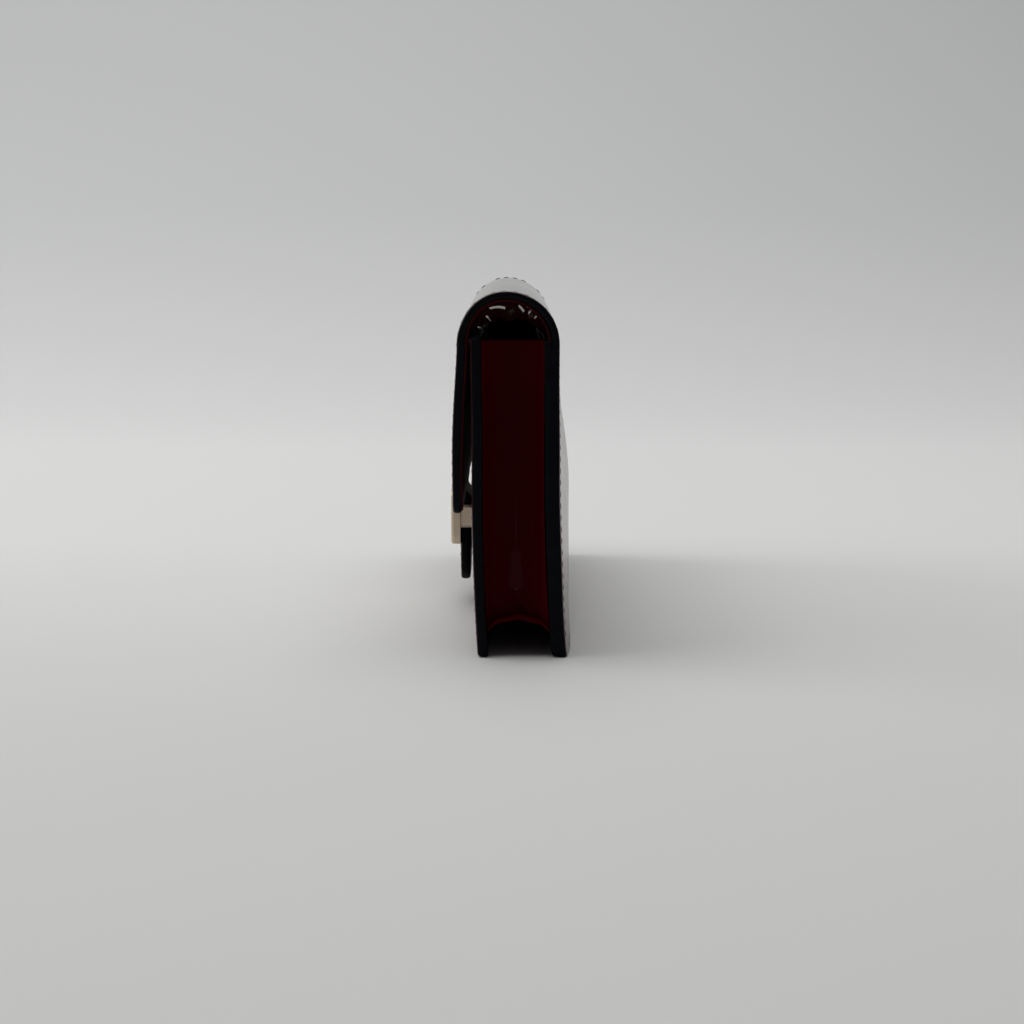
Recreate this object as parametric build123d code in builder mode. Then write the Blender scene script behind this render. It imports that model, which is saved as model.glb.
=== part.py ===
"""Long wallet with a flap that arches over the top and closes on a metal clasp.

X runs along the length, the flap hangs on the -Y side, the back is on the +Y side, and the wallet stands on
its walls' lower edges at z = 0. All sizes are in millimetres.
"""
from build123d import *
from math import cos, degrees, radians, sin
import os

# Driving dimensions
LENGTH = 190.0
HEIGHT = 100.0
BACK_FACE_Y = 13.5        # back cover's outer face at its ends
BACK_BOW = 4.7            # how much further the back's middle stands out
FLAP_FACE_Y = -15.6       # flap's outer face
FLAP_HEM_Z = 39.6         # flap's lower edge
FRONT_FACE_Y = -10.3      # front wall's outer face
FRONT_TOP_Z = 88.0
WALL_TOP_Z = 86.7         # gussets and back lining
COVER = 2.1               # doubled cover leather
FRONT_COVER = 1.4
LINING = 0.8
BOARD = 0.8
PANEL = 0.7               # thin inner leather
LAYER_GAP = 0.05          # between glued layers
LINING_SLACK = 0.5        # the lining lies loose under the cover
BOARD_HALF = 92.0         # boards end short of the walls' edges
BOARD_LOW_Z = 3.0
BACK_BOARD_Y = 10.15
BACK_BOARD_TOP_Z = 83.0
LINING_LOW_Z = 1.0
FULL_BOW_Z = 50.0         # the back stands out fully up to here, and less above
BEND_GAP = 0.3            # between the arch's strips, at the outer face
BEND_ANGLES = (30.0, 90.0, 150.0)   # places of the three bends round the arch

# Worked out from them
HALF = LENGTH / 2
ARCH_RADIUS = (BACK_FACE_Y - FLAP_FACE_Y) / 2
ARCH_Y = (BACK_FACE_Y + FLAP_FACE_Y) / 2
ARCH_Z = HEIGHT - ARCH_RADIUS
COVER_UNDER = ARCH_RADIUS - COVER
LINING_OVER = COVER_UNDER - LINING_SLACK
LINING_UNDER = LINING_OVER - LINING
HALF_GAP = degrees(BEND_GAP / 2 / ARCH_RADIUS)
ROOT_Z = 84.0             # where the back wall ends and the arch's leather starts
BACK_COVER_UNDER = BACK_FACE_Y - COVER
FRONT_INNER_Y = -7.3
BACK_INNER_Y = 9.25

# Bottom and end gussets
GUSSET = 1.0
GUSSET_FRONT_Y = FRONT_INNER_Y + LAYER_GAP
GUSSET_BACK_Y = BACK_INNER_Y - LAYER_GAP
GUSSET_MID_Y = (GUSSET_FRONT_Y + GUSSET_BACK_Y) / 2
GUSSET_RIM_X = HALF - 0.5     # set in a little from the walls' ends
GUSSET_DEPTH = 8.0        # how far an end gusset's middle folds inwards
TUNNEL_FOOT_Z = 7.2
TUNNEL_TOP_Z = 11.9       # the bottom gusset's highest line

# Coin pocket, its zip and the card slots
POCKET_FACE_Y = 3.0
POCKET_INNER_Y = POCKET_FACE_Y - PANEL
POCKET_HALF = 82.0
POCKET_LOW_Z = 16.0
POCKET_TOP_Z = 72.0
TAPE = 0.4
TAPE_Z = POCKET_TOP_Z + LAYER_GAP
TAPE_EDGE_Y = 0.35
TAPE_HALF = 80.0
TOOTH = (1.2, 1.1, 1.1)       # along X, Y and Z
TOOTH_Y = 0.8
TOOTH_PITCH = 2.4
TOOTH_COUNT = 60
TOOTH_Z = TAPE_Z + TAPE + LAYER_GAP
SLIDER_X = 66.0
SLIDER_PLATE = (9.0, 4.6, 0.9)
SLIDER_TOP_Z = TOOTH_Z + TOOTH[2] + 0.2
PULL_Z = SLIDER_TOP_Z + SLIDER_PLATE[2] + 1.1
PULL_LENGTH = 16.0
PULL_THICKNESS = 1.0
PULL_EYE_RADIUS = 0.95
PULL_PIN_RADIUS = 0.42
PULL_HOLE_RADIUS = 0.5
CARD_SLOT = 0.42
CARD_PITCH_Y = 0.47
CARD_STEP_Z = 10.0
CARD_COUNT = 4
CARD_TOP_Z = 84.0
CARD_HALF = 86.0
CARD_LOW_Z = 14.0

# Tongue and clasp
TONGUE_SHIFT = 0.3        # the tongue bends this much towards the front wall
TONGUE_HALF = 13.5
TONGUE_TIP_Z = 7.5
TONGUE_CORNER = 8.0
CLASP_Z = 28.5
CLASP_OUTER_Y = -18.2
PLATE_SIZE = (35.0, 17.4)
PLATE_CORNER = 3.0
PLATE_EDGE = 0.8
SLEEVE_HEIGHT = 7.0
SLEEVE_WALL = 2.0
SLEEVE_INNER_HALF = TONGUE_HALF + 0.3
SLEEVE_BAR = 1.0
SLEEVE_BACK_Y = -10.75
TONGUE_FACE_Y = FLAP_FACE_Y + TONGUE_SHIFT
SCREW_X = 8.0
SCREW_RADIUS = 0.8
SCREW_HOLE_RADIUS = 0.9
SCREW_HEAD_RADIUS = 1.5
SCREW_HEAD = 0.5
SCREW_BITE = 1.4          # how far a screw enters the plate
MAGNET_X = 8.0
MAGNET_RADIUS = 5.0
MAGNET_CLEARANCE = 0.15

os.makedirs("parts", exist_ok=True)


def save(part, name):
    """Label a finished piece and write its file."""
    part.label = name
    export_step(part, f"parts/{name}.step")


def slab(x, y, z):
    """A flat sheet between two values along each axis."""
    with BuildPart() as sheet:
        with BuildSketch(Plane.XY.offset(z[0])):
            with Locations(((x[0] + x[1]) / 2, (y[0] + y[1]) / 2)):
                Rectangle(x[1] - x[0], y[1] - y[0])
        extrude(amount=z[1] - z[0])
    return sheet.part


def at(radius, degrees):
    """A point (y, z) on the arch, its angle counted from the back."""
    return (ARCH_Y + radius * cos(radians(degrees)), ARCH_Z + radius * sin(radians(degrees)))


def close_end(outside, inside, low):
    """Join the ends of two arcs, by way of a straight stretch down to a height if there is one."""
    if low is None:
        Line(outside, inside)
    else:
        Polyline(outside, (outside.X, low), (inside.X, low), inside)


def arch_strip(outer, inner, start, end, foot=None, hem=None):
    """Leather round the arch between two angles, with a straight foot at the back or a hem in front."""
    middle = (start + end) / 2
    with BuildPart() as strip:
        with BuildSketch(Plane.YZ.offset(-HALF)):
            with BuildLine():
                over = ThreePointArc(at(outer, start), at(outer, middle), at(outer, end))
                under = ThreePointArc(at(inner, start), at(inner, middle), at(inner, end))
                close_end(over @ 0, under @ 0, foot)
                close_end(over @ 1, under @ 1, hem)
            make_face()
        extrude(amount=LENGTH)
    return strip.part


def tongue_layer(outer, inner, top):
    """One layer of the tongue, a strip with a rounded tip that hangs from the given height."""
    with BuildPart() as layer:
        with BuildSketch(Plane.XZ.offset(-outer)) as outline:
            with Locations((0, (top + TONGUE_TIP_Z) / 2)):
                Rectangle(2 * TONGUE_HALF, top - TONGUE_TIP_Z)
            fillet(outline.vertices().group_by(Axis.Y)[0], radius=TONGUE_CORNER)
        extrude(amount=outer - inner)
    return layer.part


# Back wall
TOP_BOW = 0.05            # what is left of the bow where the arch's leather starts
with BuildPart() as back_cover:
    for height, bow in ((0.0, BACK_BOW), (FULL_BOW_Z, BACK_BOW), (ROOT_Z - LAYER_GAP, TOP_BOW)):
        with BuildSketch(Plane.XY.offset(height)):
            with BuildLine():
                outside = ThreePointArc((-HALF, BACK_FACE_Y), (0, BACK_FACE_Y + bow), (HALF, BACK_FACE_Y))
                inside = ThreePointArc((-HALF, BACK_COVER_UNDER), (0, BACK_COVER_UNDER + bow),
                                       (HALF, BACK_COVER_UNDER))
                Line(outside @ 0, inside @ 0)
                Line(outside @ 1, inside @ 1)
            make_face()
    loft(ruled=True)
save(back_cover.part, "back_cover")

PAD_HALF = 88.0
PAD_FLAT_Y = 11.0
PAD_EDGE_BOW = 1 - (PAD_HALF / HALF) ** 2     # share of the bow left at the padding's ends
PAD_FACE_Y = BACK_COVER_UNDER - 2 * LAYER_GAP
PAD_LOW_Z = 5.0
PAD_TOP_Z = 82.0
PAD_TOP_BOW = BACK_BOW * (ROOT_Z - PAD_TOP_Z) / (ROOT_Z - FULL_BOW_Z)
with BuildPart() as back_padding:
    for height, bow in ((PAD_LOW_Z, BACK_BOW), (FULL_BOW_Z, BACK_BOW), (PAD_TOP_Z, PAD_TOP_BOW)):
        with BuildSketch(Plane.XY.offset(height)):
            with BuildLine():
                end_y = PAD_FACE_Y + PAD_EDGE_BOW * bow
                face = ThreePointArc((-PAD_HALF, end_y), (0, PAD_FACE_Y + bow), (PAD_HALF, end_y))
                Polyline(face @ 0, (-PAD_HALF, PAD_FLAT_Y), (PAD_HALF, PAD_FLAT_Y), face @ 1)
            make_face()
    loft(ruled=True)
save(back_padding.part, "back_padding")

save(slab((-BOARD_HALF, BOARD_HALF), (BACK_BOARD_Y, BACK_BOARD_Y + BOARD), (BOARD_LOW_Z, BACK_BOARD_TOP_Z)),
     "back_stiffener")
save(slab((-HALF, HALF), (BACK_INNER_Y, BACK_INNER_Y + PANEL), (LINING_LOW_Z, WALL_TOP_Z)), "back_lining")

# Front wall, with the magnets that hold the clasp let into its board
FRONT_UNDER_Y = FRONT_FACE_Y + FRONT_COVER
FRONT_BOARD_Y = FRONT_UNDER_Y + LAYER_GAP
save(slab((-HALF, HALF), (FRONT_FACE_Y, FRONT_UNDER_Y), (0, FRONT_TOP_Z)), "front_cover")
FRONT_LINING_SPAN_Z = (LINING_LOW_Z, FRONT_TOP_Z - LINING_LOW_Z)
save(slab((-HALF, HALF), (FRONT_INNER_Y - PANEL, FRONT_INNER_Y), FRONT_LINING_SPAN_Z), "front_lining")

with BuildPart() as front_stiffener:
    with BuildSketch(Plane.XZ.offset(-FRONT_BOARD_Y)):
        with Locations((0, FRONT_TOP_Z / 2)):
            Rectangle(2 * BOARD_HALF, FRONT_TOP_Z - 2 * BOARD_LOW_Z)
        with Locations((-MAGNET_X, CLASP_Z), (MAGNET_X, CLASP_Z)):
            Circle(MAGNET_RADIUS + MAGNET_CLEARANCE, mode=Mode.SUBTRACT)
    extrude(amount=-BOARD)
save(front_stiffener.part, "front_stiffener")

with BuildPart() as front_magnets:
    with BuildSketch(Plane.XZ.offset(-FRONT_BOARD_Y)):
        with Locations((-MAGNET_X, CLASP_Z), (MAGNET_X, CLASP_Z)):
            Circle(MAGNET_RADIUS)
    extrude(amount=-BOARD)
save(front_magnets.part, "front_magnets")

# Gussets
with BuildPart() as bottom_gusset:
    with BuildSketch(Plane.YZ.offset(-GUSSET_RIM_X)):
        with BuildLine():
            over = ThreePointArc((GUSSET_FRONT_Y, TUNNEL_FOOT_Z), (GUSSET_MID_Y, TUNNEL_TOP_Z),
                                 (GUSSET_BACK_Y, TUNNEL_FOOT_Z))
            under = ThreePointArc((GUSSET_FRONT_Y + GUSSET, TUNNEL_FOOT_Z),
                                  (GUSSET_MID_Y, TUNNEL_TOP_Z - GUSSET),
                                  (GUSSET_BACK_Y - GUSSET, TUNNEL_FOOT_Z))
            Line(over @ 0, under @ 0)
            Line(over @ 1, under @ 1)
        make_face()
    extrude(amount=2 * GUSSET_RIM_X)
save(bottom_gusset.part, "bottom_gusset")

for side, end_name in ((-1, "left"), (1, "right")):
    with BuildPart() as side_gusset:
        with BuildSketch(Plane.XY.offset(TUNNEL_FOOT_Z)):
            with BuildLine():
                rim_x = side * GUSSET_RIM_X
                fold_x = side * (GUSSET_RIM_X - GUSSET_DEPTH)
                inward = ThreePointArc((rim_x, GUSSET_FRONT_Y), (fold_x, GUSSET_MID_Y),
                                       (rim_x, GUSSET_BACK_Y))
                outward = ThreePointArc((rim_x, GUSSET_FRONT_Y + GUSSET),
                                        (fold_x + side * GUSSET, GUSSET_MID_Y),
                                        (rim_x, GUSSET_BACK_Y - GUSSET))
                Line(inward @ 0, outward @ 0)
                Line(inward @ 1, outward @ 1)
            make_face()
        extrude(amount=WALL_TOP_Z - TUNNEL_FOOT_Z)
        with BuildSketch(Plane.YZ.offset(-HALF)):
            with BuildLine():
                low = TUNNEL_FOOT_Z + LAYER_GAP
                tunnel = ThreePointArc((GUSSET_FRONT_Y - LAYER_GAP, low),
                                       (GUSSET_MID_Y, TUNNEL_TOP_Z + LAYER_GAP),
                                       (GUSSET_BACK_Y + LAYER_GAP, low))
                Polyline(tunnel @ 0, (GUSSET_FRONT_Y - LAYER_GAP, 0), (GUSSET_BACK_Y + LAYER_GAP, 0),
                         tunnel @ 1)
            make_face()
        extrude(amount=LENGTH, mode=Mode.SUBTRACT)
    save(side_gusset.part, f"side_gusset_{end_name}")

# Card slots, stepped down the back wall
for row in range(CARD_COUNT):
    slot_back_y = BACK_INNER_Y - LAYER_GAP - row * CARD_PITCH_Y
    slot_top_z = CARD_TOP_Z - row * CARD_STEP_Z
    slot_span_y = (slot_back_y - CARD_SLOT, slot_back_y)
    card_slot = slab((-CARD_HALF, CARD_HALF), slot_span_y, (CARD_LOW_Z, slot_top_z))
    save(card_slot, f"card_slot_{row + 1}")

# Coin pocket
save(slab((-POCKET_HALF, POCKET_HALF), (-POCKET_FACE_Y, -POCKET_INNER_Y), (POCKET_LOW_Z, POCKET_TOP_Z)),
     "coin_pocket_front")
save(slab((-POCKET_HALF, POCKET_HALF), (POCKET_INNER_Y, POCKET_FACE_Y), (POCKET_LOW_Z, POCKET_TOP_Z)),
     "coin_pocket_back")
POCKET_SPACE = (-POCKET_INNER_Y + LAYER_GAP, POCKET_INNER_Y - LAYER_GAP)
save(slab((-POCKET_HALF, POCKET_HALF), POCKET_SPACE, (POCKET_LOW_Z, POCKET_LOW_Z + PANEL)),
     "coin_pocket_base")
for side, end_name in ((-1, "left"), (1, "right")):
    end_x = sorted((side * POCKET_HALF, side * (POCKET_HALF - PANEL)))
    pocket_end = slab(end_x, POCKET_SPACE, (POCKET_LOW_Z + PANEL + LAYER_GAP, POCKET_TOP_Z))
    save(pocket_end, f"coin_pocket_end_{end_name}")

# Zip
for side, row_name in ((-1, "front"), (1, "back")):
    tape_y = sorted((side * TAPE_EDGE_Y, side * POCKET_FACE_Y))
    save(slab((-TAPE_HALF, TAPE_HALF), tape_y, (TAPE_Z, TAPE_Z + TAPE)), f"zipper_tape_{row_name}")
    with BuildPart() as teeth:
        with BuildSketch(Plane.XY.offset(TOOTH_Z)):
            with Locations((side * TOOTH_PITCH / 4, side * TOOTH_Y)):
                with GridLocations(TOOTH_PITCH, 1, TOOTH_COUNT, 1):
                    Rectangle(TOOTH[0], TOOTH[1])
        extrude(amount=TOOTH[2])
    save(teeth.part, f"zipper_teeth_{row_name}")

STOP_X = 75.0
STOP_WIDTH = 1.6
BOTTOM_STOP_WIDTH = 2.4
with BuildPart() as zipper_stops:
    with BuildSketch(Plane.XY.offset(TOOTH_Z)):
        with Locations((STOP_X, -TOOTH_Y), (STOP_X, TOOTH_Y)):
            Rectangle(STOP_WIDTH, TOOTH[1])
        with Locations((-STOP_X, 0)):
            RectangleRounded(BOTTOM_STOP_WIDTH, 2 * (TOOTH_Y + TOOTH[1] / 2), TOOTH[1] / 2)
    extrude(amount=TOOTH[2])
save(zipper_stops.part, "zipper_stops")

FLANGE = (6.0, 0.5)
FLANGE_Y = 1.9
FLANGE_CLEARANCE = 0.15   # above the tape
LOWER_PLATE_WIDTH = 4.2   # fits between the pocket's walls
PLATE_CORNER_RADIUS = 1.4
LUG_Y = 1.4
LUG_WIDTH = 0.5
LUG_HALF = 1.0
NECK = (2.6, 0.24)
NECK_X = SLIDER_X + 2.5
SLIDER_LOW_Z = 70.9
LUG_FOOT_Z = SLIDER_TOP_Z + SLIDER_PLATE[2] / 2
with BuildPart() as zipper_slider:
    for plate_z, width in ((SLIDER_TOP_Z, SLIDER_PLATE[1]), (SLIDER_LOW_Z, LOWER_PLATE_WIDTH)):
        with BuildSketch(Plane.XY.offset(plate_z)):
            with Locations((SLIDER_X, 0)):
                RectangleRounded(SLIDER_PLATE[0], width, PLATE_CORNER_RADIUS)
        extrude(amount=SLIDER_PLATE[2])
    with BuildSketch(Plane.XY.offset(TOOTH_Z + FLANGE_CLEARANCE)):
        with Locations((SLIDER_X, -FLANGE_Y), (SLIDER_X, FLANGE_Y)):
            Rectangle(*FLANGE)
    extrude(amount=SLIDER_TOP_Z - TOOTH_Z)
    with BuildSketch(Plane.XY.offset(SLIDER_LOW_Z + SLIDER_PLATE[2] / 2)):
        with Locations((NECK_X, 0)):
            Rectangle(*NECK)
    extrude(amount=SLIDER_TOP_Z - SLIDER_LOW_Z)
    for lug_y in (-LUG_Y, LUG_Y):
        with BuildSketch(Plane.XZ.offset(-lug_y + LUG_WIDTH / 2)):
            with Locations((SLIDER_X, PULL_Z)):
                Circle(LUG_HALF)
            with Locations((SLIDER_X, (LUG_FOOT_Z + PULL_Z) / 2)):
                Rectangle(2 * LUG_HALF, PULL_Z - LUG_FOOT_Z)
            with Locations((SLIDER_X, PULL_Z)):
                Circle(PULL_PIN_RADIUS, mode=Mode.SUBTRACT)
        extrude(amount=-LUG_WIDTH)
save(zipper_slider.part, "zipper_slider")

with BuildPart() as zipper_pull_pin:
    with BuildSketch(Plane.XZ.offset(-LUG_Y - LUG_WIDTH / 2)):
        with Locations((SLIDER_X, PULL_Z)):
            Circle(PULL_PIN_RADIUS)
    extrude(amount=2 * LUG_Y + LUG_WIDTH)
save(zipper_pull_pin.part, "zipper_pull_pin")

PULL_EYE_WIDTH = 2.1
PULL_WIDTH = 5.0
PULL_CORNER_RADIUS = 2.2
PULL_WIDE_FROM = 2.6      # the pull is narrow between the lugs, and wide past them
PULL_SLOT = (4.0, 2.0)
with BuildPart() as zipper_pull:
    with BuildSketch(Plane.XZ.offset(-PULL_EYE_WIDTH / 2)):
        with Locations((SLIDER_X, PULL_Z)):
            Circle(PULL_EYE_RADIUS)
    extrude(amount=PULL_EYE_WIDTH)
    with BuildSketch(Plane.XY.offset(PULL_Z - PULL_THICKNESS / 2)):
        with Locations((SLIDER_X - PULL_WIDE_FROM / 2 - PULL_EYE_RADIUS / 2, 0)):
            Rectangle(PULL_WIDE_FROM, PULL_EYE_WIDTH)
        with Locations((SLIDER_X - (PULL_WIDE_FROM + PULL_LENGTH) / 2, 0)):
            RectangleRounded(PULL_LENGTH - PULL_WIDE_FROM, PULL_WIDTH, PULL_CORNER_RADIUS)
        with Locations((SLIDER_X - PULL_LENGTH + PULL_SLOT[0], 0)):
            SlotOverall(*PULL_SLOT, mode=Mode.SUBTRACT)
    extrude(amount=PULL_THICKNESS)
    with BuildSketch(Plane.XZ.offset(-PULL_EYE_WIDTH)):
        with Locations((SLIDER_X, PULL_Z)):
            Circle(PULL_HOLE_RADIUS)
    extrude(amount=2 * PULL_EYE_WIDTH, mode=Mode.SUBTRACT)
save(zipper_pull.part, "zipper_pull")

# Cover leather and lining round the arch, one strip for each stretch between bends
save(arch_strip(ARCH_RADIUS, COVER_UNDER, 0, BEND_ANGLES[0] - HALF_GAP, foot=ROOT_Z), "cover_root")
save(arch_strip(LINING_OVER, LINING_UNDER, 0, BEND_ANGLES[0] - HALF_GAP, foot=ROOT_Z), "lining_root")
for bend in (0, 1):
    first = BEND_ANGLES[bend] + HALF_GAP
    last = BEND_ANGLES[bend + 1] - HALF_GAP
    save(arch_strip(ARCH_RADIUS, COVER_UNDER, first, last), f"cover_bend_{bend + 1}")
    save(arch_strip(LINING_OVER, LINING_UNDER, first, last), f"lining_bend_{bend + 1}")

# Flap: cover and lining are cut in one with the tongue, with a board between them
flap_cover_part = arch_strip(ARCH_RADIUS, COVER_UNDER, BEND_ANGLES[2] + HALF_GAP, 180, hem=FLAP_HEM_Z)
flap_lining_part = arch_strip(LINING_OVER, LINING_UNDER, BEND_ANGLES[2] + HALF_GAP, 180, hem=FLAP_HEM_Z)
FLAP_BOARD = 0.4
FLAP_BOARD_INSET = 1.7    # above the hem
FLAP_BOARD_Y = FLAP_FACE_Y + COVER + LAYER_GAP
TONGUE_BOARD_Y = FLAP_BOARD_Y + TONGUE_SHIFT
TONGUE_LINING_Y = TONGUE_BOARD_Y + FLAP_BOARD + LAYER_GAP
TONGUE_TOP_Z = FLAP_HEM_Z + 0.1
CUT_MARGIN = 1.0          # how far a cutter stands clear of what it cuts


def screw_circles(radius):
    """Circles at the clasp's two screws, in a sketch that faces along Y."""
    with Locations((-SCREW_X, CLASP_Z), (SCREW_X, CLASP_Z)):
        Circle(radius)


with BuildPart() as flap_cover:
    add(flap_cover_part)
    add(tongue_layer(TONGUE_FACE_Y, TONGUE_FACE_Y + COVER, TONGUE_TOP_Z))
    with BuildSketch(Plane.XZ.offset(-TONGUE_FACE_Y + CUT_MARGIN)):
        screw_circles(SCREW_HOLE_RADIUS)
    extrude(amount=-COVER - 2 * CUT_MARGIN, mode=Mode.SUBTRACT)
save(flap_cover.part, "flap_cover")

with BuildPart() as flap_lining:
    add(flap_lining_part)
    add(tongue_layer(TONGUE_LINING_Y, TONGUE_LINING_Y + LINING, TONGUE_TOP_Z))
    with BuildSketch(Plane.XZ.offset(-TONGUE_LINING_Y + CUT_MARGIN)):
        screw_circles(SCREW_HOLE_RADIUS)
    extrude(amount=-LINING - 2 * CUT_MARGIN, mode=Mode.SUBTRACT)
save(flap_lining.part, "flap_lining")

FLAP_BOARD_SPAN_Y = (FLAP_BOARD_Y, FLAP_BOARD_Y + FLAP_BOARD)
FLAP_BOARD_SPAN_Z = (FLAP_HEM_Z + FLAP_BOARD_INSET, ROOT_Z)
save(slab((-BOARD_HALF, BOARD_HALF), FLAP_BOARD_SPAN_Y, FLAP_BOARD_SPAN_Z), "flap_stiffener")

# Clasp: plate outside the tongue, sleeve round it, and two screws that pull them together
PLATE_BACK_Y = TONGUE_FACE_Y - LAYER_GAP
THREAD_FIT = 0.05
HEAD_FIT = 0.1
SLEEVE_CHAMFER = 0.7
with BuildPart() as clasp_plate:
    with BuildSketch(Plane.XZ.offset(-PLATE_BACK_Y)):
        with Locations((0, CLASP_Z)):
            RectangleRounded(PLATE_SIZE[0], PLATE_SIZE[1], PLATE_CORNER)
    extrude(amount=PLATE_BACK_Y - CLASP_OUTER_Y)
    fillet(clasp_plate.faces().sort_by(Axis.Y)[0].edges(), radius=PLATE_EDGE)
    with BuildSketch(Plane.XZ.offset(-PLATE_BACK_Y)):
        screw_circles(SCREW_RADIUS + THREAD_FIT)
    extrude(amount=SCREW_BITE + 2 * THREAD_FIT, mode=Mode.SUBTRACT)
save(clasp_plate.part, "clasp_plate")

SLEEVE_OUTER_HALF = SLEEVE_INNER_HALF + SLEEVE_WALL
SLEEVE_FRONT_Y = PLATE_BACK_Y + LAYER_GAP
SLEEVE_BAR_Y = SLEEVE_BACK_Y - SLEEVE_BAR
with BuildPart() as clasp_sleeve:
    with BuildSketch(Plane.XY.offset(CLASP_Z - SLEEVE_HEIGHT / 2)):
        with Locations((0, (SLEEVE_FRONT_Y + SLEEVE_BACK_Y) / 2)):
            Rectangle(2 * SLEEVE_OUTER_HALF, SLEEVE_BACK_Y - SLEEVE_FRONT_Y)
        with Locations((0, (SLEEVE_FRONT_Y - CUT_MARGIN + SLEEVE_BAR_Y) / 2)):
            Rectangle(2 * SLEEVE_INNER_HALF, SLEEVE_BAR_Y - SLEEVE_FRONT_Y + CUT_MARGIN, mode=Mode.SUBTRACT)
    extrude(amount=SLEEVE_HEIGHT)
    for end_face in (-1, 0):
        end_edges = clasp_sleeve.faces().sort_by(Axis.X)[end_face].edges().filter_by(Axis.Y)
        chamfer(end_edges, length=SLEEVE_CHAMFER)
    with BuildSketch(Plane.XZ.offset(-SLEEVE_BACK_Y)):
        screw_circles(SCREW_HEAD_RADIUS + HEAD_FIT)
    extrude(amount=SCREW_HEAD + THREAD_FIT, mode=Mode.SUBTRACT)
    with BuildSketch(Plane.XZ.offset(-SLEEVE_BACK_Y)):
        screw_circles(SCREW_HOLE_RADIUS)
    extrude(amount=SLEEVE_BAR + CUT_MARGIN, mode=Mode.SUBTRACT)
save(clasp_sleeve.part, "clasp_sleeve")

SCREW_TIP_Y = PLATE_BACK_Y - SCREW_BITE
with BuildPart() as clasp_screws:
    with BuildSketch(Plane.XZ.offset(-SLEEVE_BACK_Y)):
        screw_circles(SCREW_HEAD_RADIUS)
    extrude(amount=SCREW_HEAD)
    with BuildSketch(Plane.XZ.offset(-SLEEVE_BACK_Y)):
        screw_circles(SCREW_RADIUS)
    extrude(amount=SLEEVE_BACK_Y - SCREW_TIP_Y)
save(clasp_screws.part, "clasp_screws")
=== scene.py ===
"""Looks of the long wallet: leather, edge paint, stitching, metal, camera and light round its frame."""
import math
import bpy
import numpy as np
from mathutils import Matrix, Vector


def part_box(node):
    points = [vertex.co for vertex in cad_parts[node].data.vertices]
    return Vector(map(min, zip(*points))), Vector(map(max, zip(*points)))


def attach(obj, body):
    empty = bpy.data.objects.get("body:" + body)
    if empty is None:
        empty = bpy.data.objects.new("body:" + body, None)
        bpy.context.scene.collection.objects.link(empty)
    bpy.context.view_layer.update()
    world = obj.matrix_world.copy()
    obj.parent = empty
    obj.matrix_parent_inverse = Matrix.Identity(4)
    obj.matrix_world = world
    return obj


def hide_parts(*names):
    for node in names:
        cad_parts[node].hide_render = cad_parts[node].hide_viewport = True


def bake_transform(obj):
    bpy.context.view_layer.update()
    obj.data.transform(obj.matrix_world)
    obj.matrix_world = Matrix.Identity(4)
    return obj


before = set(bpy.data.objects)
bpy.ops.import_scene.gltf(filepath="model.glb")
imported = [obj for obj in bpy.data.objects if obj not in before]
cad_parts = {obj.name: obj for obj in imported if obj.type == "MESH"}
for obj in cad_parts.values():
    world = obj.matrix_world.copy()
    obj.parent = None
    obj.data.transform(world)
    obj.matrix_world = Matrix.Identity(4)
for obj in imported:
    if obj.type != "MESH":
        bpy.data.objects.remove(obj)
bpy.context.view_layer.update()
MM = 0.001
LOW, HIGH = 0, 1
# The arch's three bends, as angles from its back end, and how far each blend reaches to both sides
STRIP_ANGLE = 60
COVER_REACH = 28
LINING_REACH = 20


def edge(node, side, axis):
    """One face of a CAD node's box, in millimetres."""
    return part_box(node)[side][axis] / MM


# Sizes taken from the frame, in millimetres
COVER_OVER_BOARD = 2.15
HEM_BELOW_BOARD = 1.7
HALF = edge("front_cover", HIGH, 0)
HEIGHT = edge("cover_bend_1", HIGH, 2)
BACK_Y = edge("cover_root", HIGH, 1)
FLAP_Y = edge("flap_stiffener", LOW, 1) - COVER_OVER_BOARD
BACK_BOW = edge("back_cover", HIGH, 1) - BACK_Y
FRONT_Y = edge("front_cover", LOW, 1)
FRONT_INNER_Y = edge("front_lining", HIGH, 1)
FRONT_TOP = edge("front_cover", HIGH, 2)
BACK_INNER_Y = edge("back_lining", LOW, 1)
WALL_TOP = edge("back_lining", HIGH, 2)
RADIUS = (BACK_Y - FLAP_Y) / 2
ARCH_Y = (BACK_Y + FLAP_Y) / 2
ARCH_Z = HEIGHT - RADIUS
HEM_Z = edge("flap_stiffener", LOW, 2) - HEM_BELOW_BOARD

# Thicknesses, rims, mesh steps and stitches, in millimetres
COVER = 2.1
LINING = 0.8
LINING_DEPTH = COVER + 0.06
RIM = 0.9
PAINT = 0.62
PAINT_OUTSIDE = 0.3
ACCENT_HEIGHT = 0.05
RIM_LINES = 7
RIM_CURVE = 2.6
RIM_THINNEST = 0.16
STEP = 0.7
SEAM_STEP = 0.03
STITCH = 3.2
TONGUE_STITCH = 2.7
MARGIN = 2.3

# ---------------------------------------------------------------- materials


def new_material(name, color, roughness, metallic=0.0, coat=0.0, coat_roughness=0.05, sheen=0.0, ior=1.5):
    """A Principled material. Returns its nodes, links and shader for the detail that follows."""
    material = bpy.data.materials.new(name)
    material.use_nodes = True
    tree = material.node_tree
    shader = tree.nodes["Principled BSDF"]
    shader.inputs["Base Color"].default_value = (*color, 1)
    shader.inputs["Roughness"].default_value = roughness
    shader.inputs["Metallic"].default_value = metallic
    shader.inputs["Coat Weight"].default_value = coat
    shader.inputs["Coat Roughness"].default_value = coat_roughness
    shader.inputs["Sheen Weight"].default_value = sheen
    shader.inputs["IOR"].default_value = ior
    return material, tree, shader


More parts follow.
